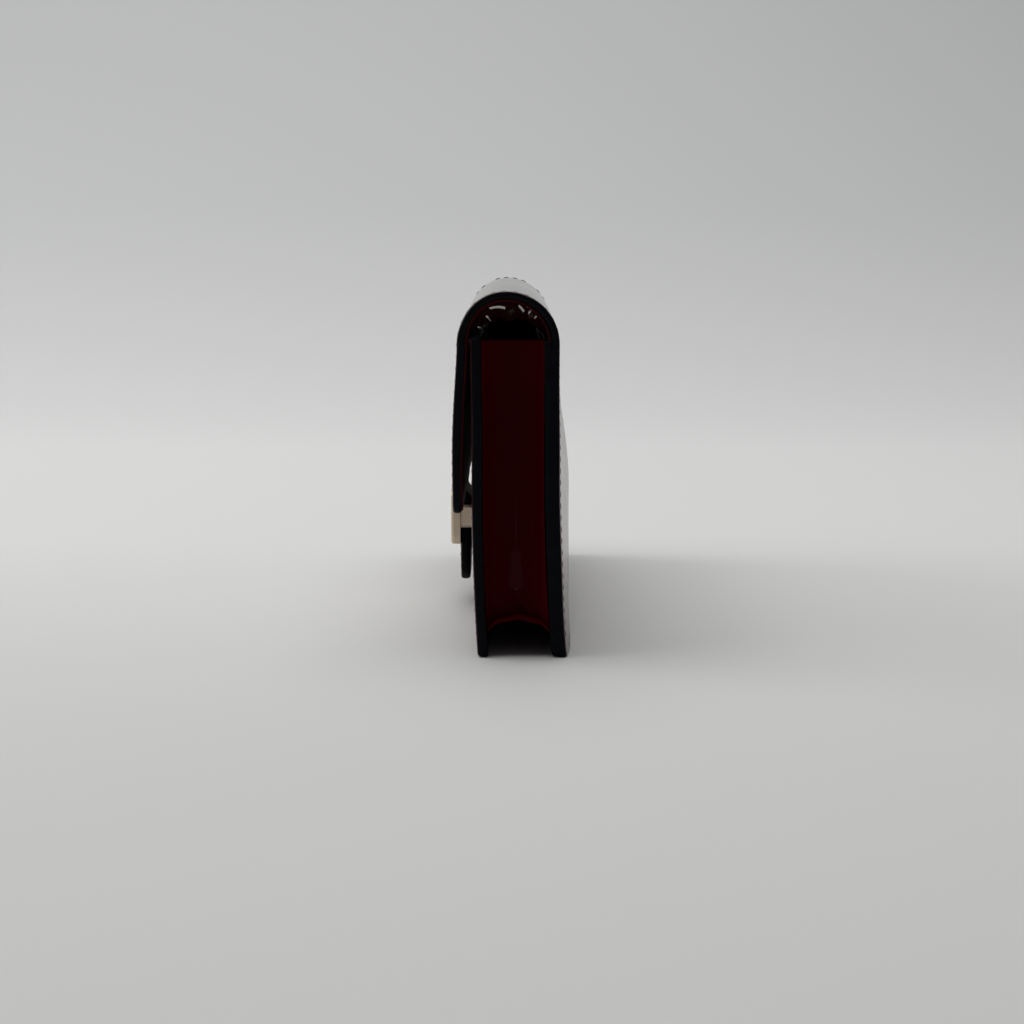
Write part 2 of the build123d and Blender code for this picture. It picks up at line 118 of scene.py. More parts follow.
def noise(tree, scale, detail=4.0, stretch=(1, 1, 1), roughness=0.55):
    """A noise texture in the object's own coordinates, scaled per metre."""
    coords = tree.nodes.new("ShaderNodeTexCoord")
    mapping = tree.nodes.new("ShaderNodeMapping")
    mapping.inputs["Scale"].default_value = stretch
    texture = tree.nodes.new("ShaderNodeTexNoise")
    texture.inputs["Scale"].default_value = scale
    texture.inputs["Detail"].default_value = detail
    texture.inputs["Roughness"].default_value = roughness
    tree.links.new(coords.outputs["Object"], mapping.inputs["Vector"])
    tree.links.new(mapping.outputs["Vector"], texture.inputs["Vector"])
    return texture.outputs["Fac"]


def ramp(tree, value, stops):
    """Map a value to colours. stops are (position, (r, g, b))."""
    node = tree.nodes.new("ShaderNodeValToRGB")
    while len(node.color_ramp.elements) < len(stops):
        node.color_ramp.elements.new(0.5)
    for element, (position, color) in zip(node.color_ramp.elements, stops):
        element.position = position
        element.color = (*color, 1)
    tree.links.new(value, node.inputs["Fac"])
    return node.outputs["Color"]


def remap(tree, value, low, high, start=0.0, end=1.0):
    """Map start..end to low..high."""
    node = tree.nodes.new("ShaderNodeMapRange")
    node.inputs["From Min"].default_value = start
    node.inputs["From Max"].default_value = end
    node.inputs["To Min"].default_value = low
    node.inputs["To Max"].default_value = high
    tree.links.new(value, node.inputs["Value"])
    return node.outputs["Result"]


def coordinate(tree, axis):
    """One of the object's own coordinates, in metres."""
    coords = tree.nodes.new("ShaderNodeTexCoord")
    split = tree.nodes.new("ShaderNodeSeparateXYZ")
    tree.links.new(coords.outputs["Object"], split.inputs["Vector"])
    return split.outputs[axis]


def calculate(tree, operation, first, second=None):
    """A sum on node values. Each term is a node's output or a number."""
    node = tree.nodes.new("ShaderNodeMath")
    node.operation = operation
    for socket, term in zip(node.inputs, (first, second)):
        if isinstance(term, (int, float)):
            socket.default_value = term
        elif term is not None:
            tree.links.new(term, socket)
    return node.outputs[0]


def bump(tree, shader, value, distance, strength=1.0, below=None, coat=False):
    """Add a bump in metres to the shader, on top of another one if given."""
    node = tree.nodes.new("ShaderNodeBump")
    node.inputs["Distance"].default_value = distance
    node.inputs["Strength"].default_value = strength
    tree.links.new(value, node.inputs["Height"])
    if below is not None:
        tree.links.new(below, node.inputs["Normal"])
    tree.links.new(node.outputs["Normal"], shader.inputs["Normal"])
    if coat:
        tree.links.new(node.outputs["Normal"], shader.inputs["Coat Normal"])
    return node.outputs["Normal"]


WALL_GLOSS = 0.46
ARCH_GLOSS = 0.78


def patent_leather():
    """Dark red leather under a thick clear gloss, a little uneven, with faint hairline wear."""
    material, tree, shader = new_material("patent_leather", (0.04, 0.002, 0.003), 0.3, coat=0.84,
                                          coat_roughness=0.035, ior=1.52)
    shader.inputs["Specular IOR Level"].default_value = 0.3
    shader.inputs["Specular Tint"].default_value = (1, 0.72, 0.7, 1)
    tone = ramp(tree, noise(tree, 45, 5), [(0.3, (0.03, 0.0012, 0.002)), (0.7, (0.055, 0.0024, 0.004))])
    tree.links.new(tone, shader.inputs["Base Color"])
    tree.links.new(remap(tree, noise(tree, 900, 3), 0.22, 0.38), shader.inputs["Roughness"])
    # the walls are a little handled, the arch keeps more of its gloss
    gloss = remap(tree, coordinate(tree, "Z"), WALL_GLOSS, ARCH_GLOSS, 60 * MM, 97 * MM)
    tree.links.new(gloss, shader.inputs["Coat Weight"])
    slow = bump(tree, shader, noise(tree, 40, 0), 0.0008, 0.28)
    bump(tree, shader, noise(tree, 1500, 3), 0.00002, 0.35, below=slow, coat=True)
    return material


# The pressed patch at the foot of the side gussets' fold: sizes in millimetres and gloss
PRESSED_TOP = 50
PRESSED_WIDTH = 3
PRESSED_ASIDE = 0.7
PRESSED_BLUR = 0.4
PRESSED_GLOSS = 0.4
GUSSET_GLOSS = 0.004


def gusset_leather(middle, reach):
    """The folded gussets' leather: darker and duller than the cover, brighter along its two sewn sides as
    painted highlight.
    """
    material, tree, shader = new_material("gusset_leather", (0.03, 0.0012, 0.002), 0.4, coat=0.0,
                                          coat_roughness=0.05)
    shader.inputs["Specular IOR Level"].default_value = 0.015
    offset = calculate(tree, "SUBTRACT", coordinate(tree, "Y"), middle * MM)
    share = calculate(tree, "DIVIDE", calculate(tree, "ABSOLUTE", offset), reach * MM)
    # painted light: the colour grows a little lighter from the fold's middle outwards, and the bright lines
    # along the two sewn sides are painted highlight
    tone = ramp(tree, share, [(0.0, (0.038, 0.0004, 0.0006)), (0.9, (0.048, 0.0006, 0.0009)),
                              (0.98, (0.062, 0.0022, 0.0045)), (1.0, (0.066, 0.0025, 0.005))])
    tree.links.new(tone, shader.inputs["Base Color"])
    # the fold's foot is pressed smooth: a patch that narrows upwards and runs out in a thin line
    height = calculate(tree, "DIVIDE", coordinate(tree, "Z"), PRESSED_TOP * MM)
    outline = ramp(tree, height, [(0.35, (0, 0, 0)), (0.37, (0.75, 0.75, 0.75)), (0.56, (0.45, 0.45, 0.45)),
                                  (0.58, (0.1, 0.1, 0.1)), (1.0, (0.0, 0.0, 0.0))])
    wide = calculate(tree, "MULTIPLY", outline, PRESSED_WIDTH * MM)
    away = calculate(tree, "ABSOLUTE", calculate(tree, "SUBTRACT", offset, PRESSED_ASIDE * MM))
    inside = calculate(tree, "SUBTRACT", wide, away)
    gloss = remap(tree, inside, GUSSET_GLOSS, PRESSED_GLOSS, 0.0, PRESSED_BLUR * MM)
    tree.links.new(gloss, shader.inputs["Coat Weight"])
    slow = bump(tree, shader, noise(tree, 55, 2), 0.0006, 0.25)
    bump(tree, shader, noise(tree, 1500, 3), 0.00002, 0.3, below=slow, coat=True)
    return material


def lining_leather(name, gloss, shine, dark, light, coat_ior=1.5):
    """Thin dark red lining with a fine pebble grain, glossy where it hangs loose and soft elsewhere."""
    material, tree, shader = new_material(name, light, 0.45, coat=gloss, coat_roughness=0.03)
    shader.inputs["Coat IOR"].default_value = coat_ior
    shader.inputs["Specular IOR Level"].default_value = shine
    tone = ramp(tree, noise(tree, 60, 5), [(0.3, dark), (0.7, light)])
    tree.links.new(tone, shader.inputs["Base Color"])
    tree.links.new(remap(tree, noise(tree, 700, 4), 0.40, 0.60), shader.inputs["Roughness"])
    coords = tree.nodes.new("ShaderNodeTexCoord")
    cells = tree.nodes.new("ShaderNodeTexVoronoi")
    cells.inputs["Scale"].default_value = 2200
    tree.links.new(coords.outputs["Object"], cells.inputs["Vector"])
    slow = bump(tree, shader, noise(tree, 120, 3), 0.0004, 0.3)
    bump(tree, shader, cells.outputs["Distance"], 0.00002, 0.3, below=slow, coat=True)
    return material


def edge_paint():
    """Black edge paint: rounded, satin, with faint brush ridges and duller worn spots."""
    material, tree, shader = new_material("edge_paint", (0.003, 0.0035, 0.0045), 0.42, coat_roughness=0.25)
    shader.inputs["Specular IOR Level"].default_value = 0.05
    mottle = noise(tree, 260, 5)
    tone = ramp(tree, mottle, [(0.3, (0.0018, 0.0021, 0.0034)), (0.75, (0.0040, 0.0045, 0.0062))])
    tree.links.new(tone, shader.inputs["Base Color"])
    tree.links.new(remap(tree, noise(tree, 400, 4), 0.34, 0.55), shader.inputs["Roughness"])
    bump(tree, shader, noise(tree, 500, 4), 0.00008, 0.5)
    return material


def satin_metal(name, color, roughness, stretch):
    """Pale gold plating with a fine brushed grain and slight tarnish."""
    material, tree, shader = new_material(name, color, roughness, metallic=1.0)
    darker = tuple(0.95 * c for c in color)
    lighter = tuple(min(1.0, 1.03 * c) for c in color)
    tone = ramp(tree, noise(tree, 90, 2), [(0.3, darker), (0.7, lighter)])
    tree.links.new(tone, shader.inputs["Base Color"])
    grain = noise(tree, 900, 4, stretch)
    tree.links.new(remap(tree, grain, roughness - 0.06, roughness + 0.1), shader.inputs["Roughness"])
    bump(tree, shader, grain, 0.000015, 0.5)
    return material


def thread_material():
    """Twisted dark red thread."""
    material, tree, shader = new_material("thread", (0.055, 0.004, 0.007), 0.6, sheen=0.3)
    coords = tree.nodes.new("ShaderNodeTexCoord")
    wave = tree.nodes.new("ShaderNodeTexWave")
    wave.bands_direction = "DIAGONAL"
    wave.inputs["Scale"].default_value = 900
    wave.inputs["Distortion"].default_value = 1.5
    tree.links.new(coords.outputs["Object"], wave.inputs["Vector"])
    tone = ramp(tree, wave.outputs["Fac"], [(0.2, (0.03, 0.002, 0.004)), (0.8, (0.085, 0.008, 0.012))])
    tree.links.new(tone, shader.inputs["Base Color"])
    bump(tree, shader, wave.outputs["Fac"], 0.00006, 0.7)
    return material


def woven(name, dark, light, scale, roughness=0.8):
    """A fine woven or fibrous surface."""
    material, tree, shader = new_material(name, light, roughness, sheen=0.2)
    coords = tree.nodes.new("ShaderNodeTexCoord")
    height = None
    for direction in ("X", "Y"):
        wave = tree.nodes.new("ShaderNodeTexWave")
        wave.bands_direction = direction
        wave.inputs["Scale"].default_value = scale
        tree.links.new(coords.outputs["Object"], wave.inputs["Vector"])
        if height is None:
            height = wave.outputs["Fac"]
        else:
            height = calculate(tree, "MAXIMUM", height, wave.outputs["Fac"])
    tree.links.new(ramp(tree, height, [(0.3, dark), (0.8, light)]), shader.inputs["Base Color"])
    uneven = remap(tree, noise(tree, 500), roughness - 0.1, roughness + 0.1)
    tree.links.new(uneven, shader.inputs["Roughness"])
    bump(tree, shader, height, 0.00008, 0.6)
    return material


# The lining that hangs loose under the arch is the same leather as the lining elsewhere; its colours are
# darker here as painted shade, for the shadow under the arch
SHADED_LOOSE_DARK = (0.006, 0.0003, 0.0006)
SHADED_LOOSE_LIGHT = (0.012, 0.0005, 0.001)
PATENT = patent_leather()
LINING_MAT = lining_leather("lining_leather", 0.0, 0.12, (0.014, 0.0006, 0.0012), (0.032, 0.0012, 0.0022))
LOOSE_LINING = lining_leather("loose_lining", 0.3, 0.05, SHADED_LOOSE_DARK, SHADED_LOOSE_LIGHT)
CREASE_LINING = lining_leather("creased_lining", 1.0, 0.05, SHADED_LOOSE_DARK, SHADED_LOOSE_LIGHT, 4.0)
LINING_EDGE = lining_leather("lining_edge", 0.0, 0.05, (0.018, 0.0008, 0.0014), (0.035, 0.0014, 0.0024))
PAINT_MAT = edge_paint()
GOLD = satin_metal("clasp_gold", (0.65, 0.535, 0.405), 0.33, (0.15, 1, 1))
ZIP_GOLD = satin_metal("zip_gold", (0.62, 0.53, 0.38), 0.25, (1, 1, 1))
NICKEL = satin_metal("magnet_nickel", (0.55, 0.55, 0.56), 0.3, (1, 1, 1))
THREAD = thread_material()
TAPE = woven("zip_tape", (0.012, 0.002, 0.003), (0.04, 0.004, 0.007), 1400)
BOARD = woven("fibre_board", (0.35, 0.3, 0.24), (0.5, 0.45, 0.36), 600, 0.85)

# ---------------------------------------------------------------- shapes

FULL_TURN = 6.28


def smooth(t):
    """An eased step from 0 to 1."""
    t = np.clip(t, 0, 1)
    return t * t * (3 - 2 * t)


def ripple(u, v, seed, amplitude, shortest=18.0):
    """A gentle unevenness of handmade leather, the same each run."""
    draw = np.random.default_rng(seed)
    total = np.zeros_like(u, dtype=float)
    for _ in range(7):
        angle = draw.uniform(0, 2 * math.pi)
        wave = shortest * draw.uniform(1, 3.5)
        across = u * math.cos(angle) + v * math.sin(angle)
        total += np.sin(2 * math.pi * across / wave + draw.uniform(0, FULL_TURN))
    return amplitude * total / math.sqrt(7)


# The lower corners' splay: where it starts along the length, how far it goes and up to what height
SPLAY_START = 30
FRONT_SPLAY = 1.5
BACK_SPLAY = 2.3
FRONT_SPLAY_TOP = 42
BACK_SPLAY_TOP = 50


def lean(x, z, back=0.0):
    """How far the walls' lower corners splay towards the back, at both ends. back is 1 for the back wall."""
    end = smooth((np.abs(x) - SPLAY_START) / (HALF - SPLAY_START))
    amount = FRONT_SPLAY + (BACK_SPLAY - FRONT_SPLAY) * back
    top = FRONT_SPLAY_TOP + (BACK_SPLAY_TOP - FRONT_SPLAY_TOP) * back
    return end * amount * (1 - np.clip(z / top, 0, 1)) ** 2


# Heights up to which the back's swell is full, and where it has gone
BOW_FULL = 40
BOW_END = 84


def back_bow(x, z):
    """How far the back wall swells behind its ends."""
    return BACK_BOW * (1 - (x / HALF) ** 2) * (1 - smooth((z - BOW_FULL) / (BOW_END - BOW_FULL)))


def grid_values(low, high, step, low_rim, high_rim):
    """Grid lines between two ends, crowded round a rounded rim and close up to a seam."""
    rounding = RIM * (1 - np.cos(np.linspace(0, math.pi / 2, RIM_LINES)))
    head = low + (rounding if low_rim else np.array([0, SEAM_STEP]))
    tail = high - (rounding if high_rim else np.array([0, SEAM_STEP]))[::-1]
    count = max(2, int(round((tail[0] - head[-1]) / step)))
    return np.concatenate([head, np.linspace(head[-1], tail[0], count + 1)[1:-1], tail])


def build(name, points, faces, materials, indices=None, sharp=None):
    """A smooth-shaded mesh object from points in millimetres."""
    mesh = bpy.data.meshes.new(name)
    mesh.from_pydata((points * MM).tolist(), [], faces.tolist() if hasattr(faces, "tolist") else faces)
    for material in materials:
        mesh.materials.append(material)
    if indices is not None:
        mesh.polygons.foreach_set("material_index", np.asarray(indices, dtype=np.int32))
    mesh.polygons.foreach_set("use_smooth", np.ones(len(mesh.polygons), dtype=bool))
    if sharp is not None:
        corners = set(sharp)
        for e in mesh.edges:
            if tuple(sorted(e.vertices)) in corners:
                e.use_edge_sharp = True
    mesh.update()
    piece = bpy.data.objects.new(name, mesh)
    bpy.context.scene.collection.objects.link(piece)
    return piece


# A shell's materials in order: its outer side, its inner side, its painted edge and its accent
OUTER_SLOT, INNER_SLOT, EDGE_SLOT, ACCENT_SLOT = range(4)


def shell(name, us, vs, place, half, materials, rims, corner=0.0, stitches=(), pitch=STITCH, margin=MARGIN,
          groove=0.13, step=STEP, scallop=0.03, fine=None, accent=None):
    """A closed leather slab over a rectangle of (u, v). place(u, v, t) gives points, t outwards from mid-way.

    rims says which of u low, u high, v low, v high are rounded painted edges; the others are cut flush, where
    the next piece carries on. stitches names the rims that have a stitch line beside them. fine is how far in
    from both ends a closer mesh reaches, and its step. accent gives heights on the inner side, and where
    they are above ACCENT_HEIGHT the fourth material goes.
    """
    u_lines = grid_values(us[0], us[1], step, rims[0], rims[1])
    v_lines = grid_values(vs[0], vs[1], step if fine is None else fine[1], rims[2], rims[3])
    if fine is not None:
        reach = np.arange(RIM, fine[0], fine[1])
        middle = u_lines[(u_lines > us[0] + fine[0]) & (u_lines < us[1] - fine[0])]
        near_low = us[0] + reach[1:]
        near_high = (us[1] - reach[1:])[::-1]
        u_lines = np.concatenate([u_lines[:RIM_LINES], near_low, middle, near_high, u_lines[-RIM_LINES:]])
    u, v = np.meshgrid(u_lines, v_lines, indexing="ij")
    far = np.full(u.shape, 1e3)
    gaps = [u - us[0] if rims[0] else far, us[1] - u if rims[1] else far,
            v - vs[0] if rims[2] else far, vs[1] - v if rims[3] else far]
    depth = np.minimum.reduce(gaps)
    if corner > 0:
        for iu, iv in ((0, 2), (0, 3), (1, 2), (1, 3)):
            if not (rims[iu] and rims[iv]):
                continue
            a = np.clip(1 - gaps[iu] / corner, 0, 1)
            b = np.clip(1 - gaps[iv] / corner, 0, 1)
            inside = (a > 0) & (b > 0)
            ax = a * np.sqrt(1 - b * b / 2)
            bx = b * np.sqrt(1 - a * a / 2)
            u = np.where(inside, us[iu] + (corner * (1 - ax)) * (1 if iu == 0 else -1), u)
            v = np.where(inside, vs[iv - 2] + (corner * (1 - bx)) * (1 if iv == 2 else -1), v)
            depth = np.where(inside, corner * (1 - np.sqrt(ax * ax + bx * bx)), depth)
    inset = np.clip(1 - depth / RIM, 0, 1)
    profile = half * np.maximum(RIM_THINNEST, (1 - inset ** RIM_CURVE) ** (1 / RIM_CURVE))
    pucker = np.zeros_like(u)
    if stitches:
        near = np.minimum.reduce([gaps[i] for i in stitches])
        along = np.where(np.minimum(gaps[0], gaps[1]) <= np.minimum(gaps[2], gaps[3]), v, u)
        beat = 0.5 + 0.5 * np.cos(2 * math.pi * along / pitch)
        pucker = groove * np.exp(-((near - margin) / 0.5) ** 2) * (0.35 + 0.65 * beat)
        pucker += scallop * beat * smooth(1 - near / margin)
    outer = place(u, v, profile - pucker)
    inner = place(u, v, -(profile - 0.6 * pucker))
    nu, nv = u.shape
    points = np.concatenate([outer.reshape(-1, 3), inner.reshape(-1, 3)])
    index = np.arange(nu * nv).reshape(nu, nv)
    quad = np.stack([index[:-1, :-1], index[1:, :-1], index[1:, 1:], index[:-1, 1:]], -1).reshape(-1, 4)
    offset = nu * nv
    from_rim = (depth[:-1, :-1] + depth[1:, 1:]) / 2
    outer_index = np.where(from_rim < PAINT_OUTSIDE, EDGE_SLOT, OUTER_SLOT).reshape(-1)
    inner_index = np.where(from_rim < PAINT, EDGE_SLOT, INNER_SLOT)
    if accent is not None:
        inner_index = np.where(accent(u, v)[:-1, :-1] > ACCENT_HEIGHT, ACCENT_SLOT, inner_index)
    inner_index = inner_index.reshape(-1)
    sides = []
    side_index = []
    sharp = []
    loops = ((index[0, :], rims[0], 1), (index[-1, :], rims[1], -1), (index[:, 0], rims[2], -1),
             (index[:, -1], rims[3], 1))
    for line, rim, turn in loops:
        a, b = line[:-1], line[1:]
        if turn > 0:
            wall = np.stack([a, b, b + offset, a + offset], -1)
        else:
            wall = np.stack([b, a, a + offset, b + offset], -1)
        sides.append(wall)
        side_index.append(np.full(len(wall), EDGE_SLOT if rim else OUTER_SLOT))
        if not rim:
            for low, high in zip(a.tolist(), b.tolist()):
                sharp.append((low, high) if low < high else (high, low))
                sharp.append((low + offset, high + offset) if low < high else (high + offset, low + offset))
    faces = np.concatenate([quad, quad[:, ::-1] + offset] + sides)
    indices = np.concatenate([outer_index, inner_index] + side_index)
    return build(name, points, faces, materials, indices, sharp)


def stitch_line(place, ends, half, lift=(0.0, 0.0)):
    """Points and faces of one thread stitch for each (u0, v0, u1, v1), lying on the outer side.

    lift raises the thread at the left and at the right end of the wallet.
    """
    ends = np.asarray(ends, dtype=float)
    along = np.linspace(0, 1, 7)
    rise = np.array([-0.35, -0.08, -0.02, 0.0, -0.02, -0.08, -0.35])
    raised = half + np.where(ends[:, 0] < 0, lift[0], lift[1])
    radius = np.array([0.10, 0.17, 0.19, 0.20, 0.19, 0.17, 0.10])
    sides = 6
    rings = []
    for k, t in enumerate(along):
        u = ends[:, 0] + (ends[:, 2] - ends[:, 0]) * t
        v = ends[:, 1] + (ends[:, 3] - ends[:, 1]) * t
        centre = place(u, v, raised + rise[k])
        ahead = place(u + 0.05 * (ends[:, 2] - ends[:, 0]), v + 0.05 * (ends[:, 3] - ends[:, 1]),
                      raised + rise[k]) - centre
        up = place(u, v, raised + rise[k] + 0.1) - centre
        ahead /= np.linalg.norm(ahead, axis=1, keepdims=True)
        up /= np.linalg.norm(up, axis=1, keepdims=True)
        across = np.cross(ahead, up)
        ring = []
        for j in range(sides):
            turn = 2 * math.pi * j / sides
            ring.append(centre + radius[k] * (math.cos(turn) * across + math.sin(turn) * up))
        rings.append(np.stack(ring, 1))
    points = np.stack(rings, 1)
    count, ring_count = points.shape[0], points.shape[1]
    faces = []
    for k in range(ring_count - 1):
        for j in range(sides):
            j2 = (j + 1) % sides
            faces.append((k * sides + j, k * sides + j2, (k + 1) * sides + j2, (k + 1) * sides + j))
    faces.append(tuple(range(sides))[::-1])
    faces.append(tuple((ring_count - 1) * sides + j for j in range(sides)))
    per = ring_count * sides
    every = [tuple(i * per + n for n in face) for i in range(count) for face in faces]
    return points.reshape(-1, 3), every


def stitched(name, place, runs, half, pitch=STITCH, lift=(0.0, -0.07)):
    """One object with a thread stitch every pitch along each run (u0, v0, u1, v1)."""
    ends = []
    for u0, v0, u1, v1 in runs:
        length = math.hypot(u1 - u0, v1 - v0)
        count = max(1, int(length / pitch))
        horizontal = abs(u1 - u0) > abs(v1 - v0)
        for i in range(count):
            # a stitch lies between two needle holes, which the leather's grooves are timed to
            start = math.ceil((min(u0, u1) if horizontal else min(v0, v1)) / pitch) * pitch + i * pitch
            first, last = start - pitch * 0.40, start + pitch * 0.40
            if horizontal and last < max(u0, u1):
                ends.append((first, v0, last, v0))
            elif not horizontal and last < max(v0, v1):
                ends.append((u0, first, u0, last))
    points, faces = stitch_line(place, ends, half, lift)
    return build(name, points, faces, [THREAD])


def finish_piece(piece, body, replaced=(), across=None):
    """Tie a piece to its body, or bake a piece that spans a joint into place; hide the CAD parts it stands in
    for.
    """
    if across is None:
        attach(piece, body)
    else:
        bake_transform(piece)
    if replaced:
        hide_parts(*replaced)
    return piece


# ---------------------------------------------------------------- cover leather: back, arch and flap

ARCH_START = ARCH_Z
ARCH_LENGTH = math.pi * RADIUS
HEM_S = ARCH_Z + ARCH_LENGTH + ARCH_Z - HEM_Z
SHOULDER_IN = 1.2
HEM_IN = -0.1
SHOULDER_FADE = 39.0
SHOULDER_EASE = 3.0


def cover_place(depth, uneven=0.10, seed=3):
    """Where the cover's layer at a depth below its outer face goes. v runs up the back, over and down."""
    def place(u, v, t):
        outwards = t - depth
        angle = np.clip((v - ARCH_START) / RADIUS, 0, math.pi)
        below_back = np.maximum(ARCH_START - v, 0)
        below_front = np.maximum(v - ARCH_START - ARCH_LENGTH, 0)
        reach = RADIUS + outwards + ripple(u, v, seed, uneven)
        z = ARCH_Z + reach * np.sin(angle) - below_back - below_front
        y = ARCH_Y + reach * np.cos(angle)
        behind = below_back > 0
        y = np.where(behind, y + back_bow(u, z) + lean(u, z, 1.0), y)
        eased = below_front - SHOULDER_EASE * (1 - np.exp(-below_front / SHOULDER_EASE))
        settle = HEM_IN + (SHOULDER_IN - HEM_IN) * np.clip(1 - eased / SHOULDER_FADE, 0, 1) ** 2
        y = y + settle * smooth(angle / math.pi * 2.2 - 1.0)
        return np.stack([u, y, z], -1)
    return place


def arch_s(degrees):
    """How far along the cover an angle on the arch lies, from the cover's foot at the back."""
    return ARCH_START + math.radians(degrees) * RADIUS


COVER_MATS = [PATENT, LINING_MAT, PAINT_MAT]
cover_mid = cover_place(COVER / 2)
ENDS = (-HALF, HALF)

BACK_DEPTH = BACK_Y - BACK_INNER_Y
LINING_BELOW_ARCH = 2.2
LINING_TAPER = 1.4


def back_place(u, v, t):
    """The back wall: cover, padding and lining sewn into one edge. Above them only the cover goes on."""
    above = smooth((v - ARCH_START + LINING_BELOW_ARCH) / LINING_TAPER)
    full = 1 + (BACK_DEPTH - COVER) / COVER * (1 - above)
    deep = t - COVER / 2
    return cover_place(0)(u, v, np.where(t < 0, deep * full, deep))


back_panel = shell("back_panel_leather", ENDS, (0.0, ARCH_START), back_place, COVER / 2, COVER_MATS,
                   (True, True, True, False), corner=2.0, stitches=(0, 1, 2))
finish_piece(back_panel, "body",
             ("back_cover", "back_lining", "back_padding", "back_stiffener"))
back_runs = [(-HALF + MARGIN, 4, -HALF + MARGIN, ARCH_START), (HALF - MARGIN, 4, HALF - MARGIN, ARCH_START),
             (-HALF + 4, MARGIN, HALF - 4, MARGIN)]
finish_piece(stitched("back_panel_stitching", cover_mid, back_runs, COVER / 2), "body")

STRIPS = (("cover_root", ("body", "bend_1")), ("cover_bend_1", ("bend_1", "bend_2")),
          ("cover_bend_2", ("bend_2", "flap")))
for number, (node, pair) in enumerate(STRIPS):
    low, high = arch_s(STRIP_ANGLE * number), arch_s(STRIP_ANGLE * (number + 1))
    strip = shell(f"arch_leather_{number + 1}", ENDS, (low, high), cover_mid, COVER / 2, COVER_MATS,
                  (True, True, False, False), stitches=(0, 1))
    finish_piece(strip, pair, (node,), across=(number, COVER_REACH))
    runs = [(-HALF + MARGIN, low, -HALF + MARGIN, high), (HALF - MARGIN, low, HALF - MARGIN, high)]
    thread = stitched(f"arch_stitching_{number + 1}", cover_mid, runs, COVER / 2, lift=(0.1, -0.1))
    finish_piece(thread, pair, across=(number, COVER_REACH))

FLAP_EXTRA = 0.2
flap_half = COVER / 2 + FLAP_EXTRA
flap_place = cover_place(flap_half)
flap = shell("flap_leather", ENDS, (arch_s(180), HEM_S), flap_place, flap_half, COVER_MATS,
             (True, True, False, True), corner=3.0, stitches=(0, 1, 3))
finish_piece(flap, "flap", ("flap_cover",))
flap_runs = [(-HALF + MARGIN, arch_s(180), -HALF + MARGIN, HEM_S - 4),
             (HALF - MARGIN, arch_s(180), HALF - MARGIN, HEM_S - 4),
             (-HALF + 4, HEM_S - MARGIN, HALF - 4, HEM_S - MARGIN)]
finish_piece(stitched("flap_stitching", flap_place, flap_runs, flap_half), "flap")

# ---------------------------------------------------------------- lining under the arch and behind the flap


def crumple(u, v, seed, shortest):
    """Sharp random creases, 0 on a crease and up to 1 between them."""
    draw = np.random.default_rng(seed)
    ridges = np.ones_like(u, dtype=float)
    for _ in range(5):
        angle = draw.uniform(0, math.pi)
        wave = shortest * draw.uniform(1, 2.2)
        along = u * math.sin(angle) - v * math.cos(angle)
        across = u * math.cos(angle) + v * math.sin(angle)
        bend = 1.4 * np.sin(along / wave * 1.7 + draw.uniform(0, FULL_TURN))
        phase = 2 * math.pi * across / wave + bend + draw.uniform(0, FULL_TURN)
        ridges = np.minimum(ridges, np.abs(np.sin(phase / 2)) * 1.6)
    return ridges


# Folds in the loose lining near both ends: distance from the end and arch angle of both tips, height, width
FOLDS = (
    ((2.3, 116), (3.4, 92), 0.5, 0.2),
    ((2.0, 71), (3.6, 61), 0.6, 0.26),
    ((1.0, 61), (1.3, 48), 0.45, 0.2),
    ((2.2, 54), (3.6, 48), 1.1, 0.5),
    ((2.2, 43), (2.7, 41), 0.8, 0.4),
    ((4.6, 128), (5.1, 126), 1.2, 0.5),
    ((5.6, 152), (6.2, 149), 1.0, 0.5),
)


def folds(u, v):
    """How far the named folds hang below the lining."""
    total = np.zeros_like(u)
    for (u0, a0), (u1, a1), height, width in FOLDS:
        first = np.array([HALF - u0, ARCH_START + math.radians(a0) * RADIUS])
        along = np.array([HALF - u1, ARCH_START + math.radians(a1) * RADIUS]) - first
        from_tip = (np.abs(u) - first[0], v - first[1])
        share = np.clip((from_tip[0] * along[0] + from_tip[1] * along[1]) / (along @ along), 0, 1)
        away = np.hypot(from_tip[0] - share * along[0], from_tip[1] - share * along[1])
        total = np.maximum(total, height * np.exp(-(away / width) ** 2))
    return total


# The loose lining: how far it hangs, how deep its creases are, how far in from an end it hangs fully, and
# what share of that it loses towards the middle
SAG = 5.1
CRUMPLE = 0.8
SAG_START = 7
TIGHTER = 0.55


def lining_place(sag):
    """The lining hangs loose and creased under the arch, and lies flat behind the flap."""
    flat = cover_place(LINING_DEPTH + LINING / 2, 0.08, 5)

    def place(u, v, t):
        base = flat(u, v, t)
        angle = np.clip((v - ARCH_START) / RADIUS, 0, math.pi)
        top = np.sin(angle) ** 1.2
        from_end = HALF - np.abs(u)
        inset = smooth((from_end - 0.5) / SAG_START) * (1 - TIGHTER * smooth((from_end - 14) / 22))
        fold = 0.5 + 0.5 * np.sin(v * 0.5 + 1.3 * np.sin(u * 0.13))
        creases = CRUMPLE * (1 - crumple(u, v, 12, 13.0)) + ripple(u, v, 11, 0.2, 7.0)
        drop = sag * (0.84 + 0.16 * fold) + creases
        drop = np.maximum(drop, 0) * top * inset + folds(u, v)
        base[..., 1] -= np.cos(angle) * drop
        base[..., 2] -= np.sin(angle) * drop
        return base
    return place


